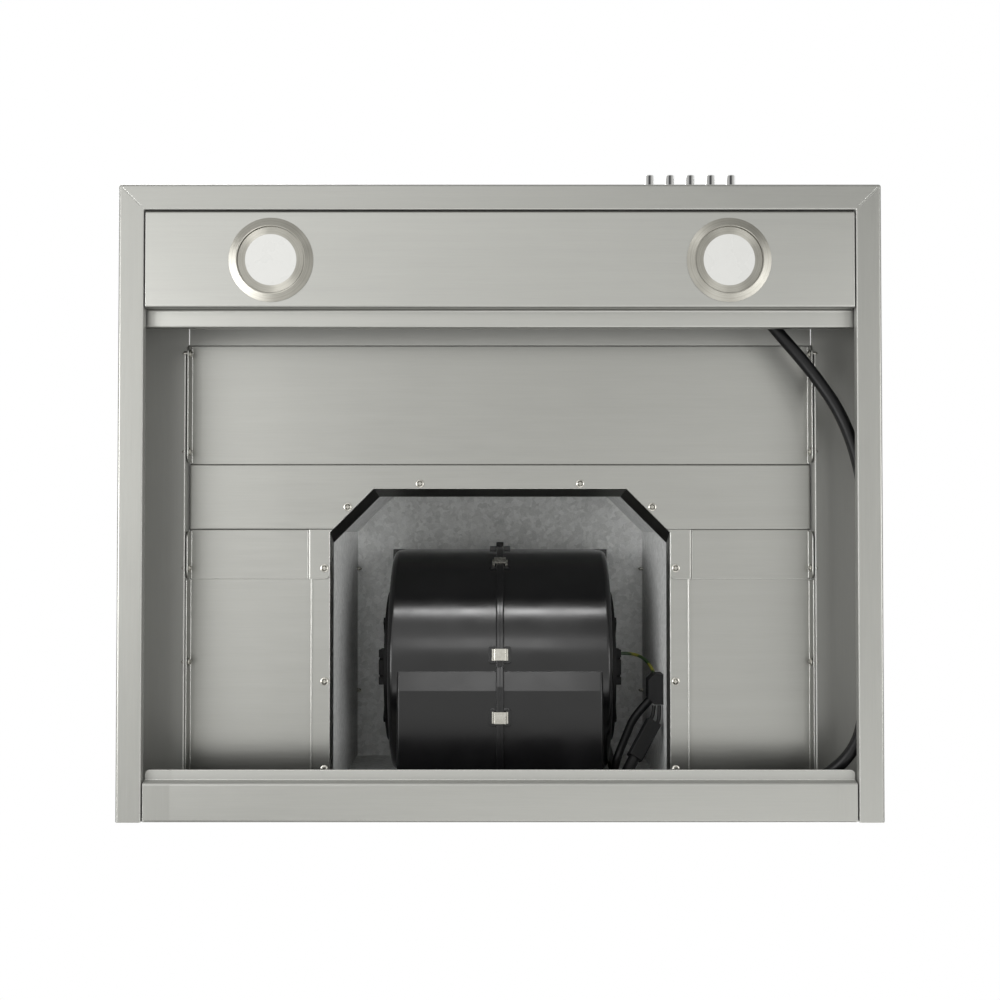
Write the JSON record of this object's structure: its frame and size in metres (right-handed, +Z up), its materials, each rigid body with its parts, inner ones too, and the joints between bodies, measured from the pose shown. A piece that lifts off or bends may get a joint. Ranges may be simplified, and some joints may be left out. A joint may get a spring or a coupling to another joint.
{
  "type": "wall range hood",
  "caption": "Wall-mounted T-shape range hood with a flat canopy open below, a double-inlet fan in its chamber, downlights, push buttons and a telescoping chimney cover.",
  "frame": {"origin": "midway between the two wall holes, in the plane of the wall", "axes": "+X to the right seen from the front, +Y into the wall, +Z up"},
  "size_m": [0.6, 0.5142, 0.6075],
  "materials": {
    "stainless": "brushed stainless sheet, fine straight grain",
    "galvanised": "hot-dip galvanised sheet with a faint spangle",
    "plated_steel": "zinc or nickel plated screws, clips and small parts",
    "housing_plastic": "moulded charcoal polypropylene, satin",
    "black_plastic": "moulded black nylon, matt",
    "lamp_metal": "turned and brushed die-cast aluminium",
    "lamp_lens": "opal acrylic diffuser",
    "chrome_cap": "bright chrome on moulded cap",
    "sleeve": "soft PVC sleeve, satin black",
    "earth_insulation": "green and yellow PVC insulation",
    "capacitor_case": "white moulded case",
    "buffer_rubber": "moulded rubber",
    "motor_steel": "zinc plated steel"
  },
  "bodies": {
    "hood": {"canopy_shell": "stainless", "back_panel": "stainless", "light_panel": "stainless", "roof_skin": "stainless", "roof_stiffener": "stainless", "cross_band": "stainless", "opening_collar": "stainless", "chimney_lower": "stainless", "fan_chamber": "galvanised", "chamber_lid": "galvanised", "panel_brackets": "galvanised", "housing_clips": "plated_steel", "light_clips": "plated_steel", "capacitor_strap": "plated_steel", "seam_screws": "plated_steel", "roof_screws": "plated_steel", "mouth_screws": "plated_steel", "lid_screws": "plated_steel", "flap_rod": "plated_steel", "fan_housing_left": "housing_plastic", "fan_housing_right": "housing_plastic", "outlet_adapter": "housing_plastic", "inlet_grille_left": "black_plastic", "inlet_grille_right": "black_plastic", "switch_body": "black_plastic", "lamp_driver": "black_plastic", "junction_box": "black_plastic", "junction_cover": "black_plastic", "cable_gland": "black_plastic", "wire_connector": "black_plastic", "lead_clip": "black_plastic", "light_body_left": "lamp_metal", "light_body_right": "lamp_metal", "light_lens_left": "lamp_lens", "light_lens_right": "lamp_lens", "harness_sleeve": "sleeve", "connector_lead_left": "sleeve", "connector_lead_right": "sleeve", "motor_lead": "sleeve", "earth_wire": "earth_insulation", "capacitor": "capacitor_case", "housing_buffer": "buffer_rubber", "axle_bushes": "buffer_rubber", "lead_grommet": "buffer_rubber", "motor_axle": "motor_steel"},
    "fan": {"fan_wheel": "housing_plastic", "rotor_drum": "motor_steel", "motor_bearings": "motor_steel", "rotor_screws": "plated_steel"},
    "upper_chimney": {"chimney_upper": "stainless", "chimney_bracket": "galvanised", "bracket_screws": "plated_steel"},
    "front_flap": {"flap_front": "housing_plastic"},
    "rear_flap": {"flap_rear": "housing_plastic"},
    "button_1": {"push_button_1": "chrome_cap"},
    "button_2": {"push_button_2": "chrome_cap"},
    "button_3": {"push_button_3": "chrome_cap"},
    "button_4": {"push_button_4": "chrome_cap"},
    "button_5": {"push_button_5": "chrome_cap"}
  },
  "joints": [
    {"name": "fan_spin", "type": "hinge", "parent": "hood", "child": "fan", "pos_m": [0, -0.103, 0.16], "axis": [1, 0, 0], "continuous": true},
    {"name": "chimney_slide", "type": "slide", "parent": "hood", "child": "upper_chimney", "axis": [0, 0, 1], "range_m": [0, 0.33]},
    {"name": "front_flap_hinge", "type": "hinge", "parent": "hood", "child": "front_flap", "pos_m": [0, -0.14265, 0.302], "axis": [-1, 0, 0], "range_deg": [0, 75]},
    {"name": "rear_flap_hinge", "type": "hinge", "parent": "hood", "child": "rear_flap", "pos_m": [0, -0.14265, 0.302], "axis": [1, 0, 0], "range_deg": [0, 75]},
    {"name": "button_1_press", "type": "slide", "parent": "hood", "child": "button_1", "axis": [0, 1, 0], "range_m": [0, 0.003], "stiffness_N_per_m": 400},
    {"name": "button_2_press", "type": "slide", "parent": "hood", "child": "button_2", "axis": [0, 1, 0], "range_m": [0, 0.003], "stiffness_N_per_m": 400},
    {"name": "button_3_press", "type": "slide", "parent": "hood", "child": "button_3", "axis": [0, 1, 0], "range_m": [0, 0.003], "stiffness_N_per_m": 400},
    {"name": "button_4_press", "type": "slide", "parent": "hood", "child": "button_4", "axis": [0, 1, 0], "range_m": [0, 0.003], "stiffness_N_per_m": 400},
    {"name": "button_5_press", "type": "slide", "parent": "hood", "child": "button_5", "axis": [0, 1, 0], "range_m": [0, 0.003], "stiffness_N_per_m": 400}
  ]
}
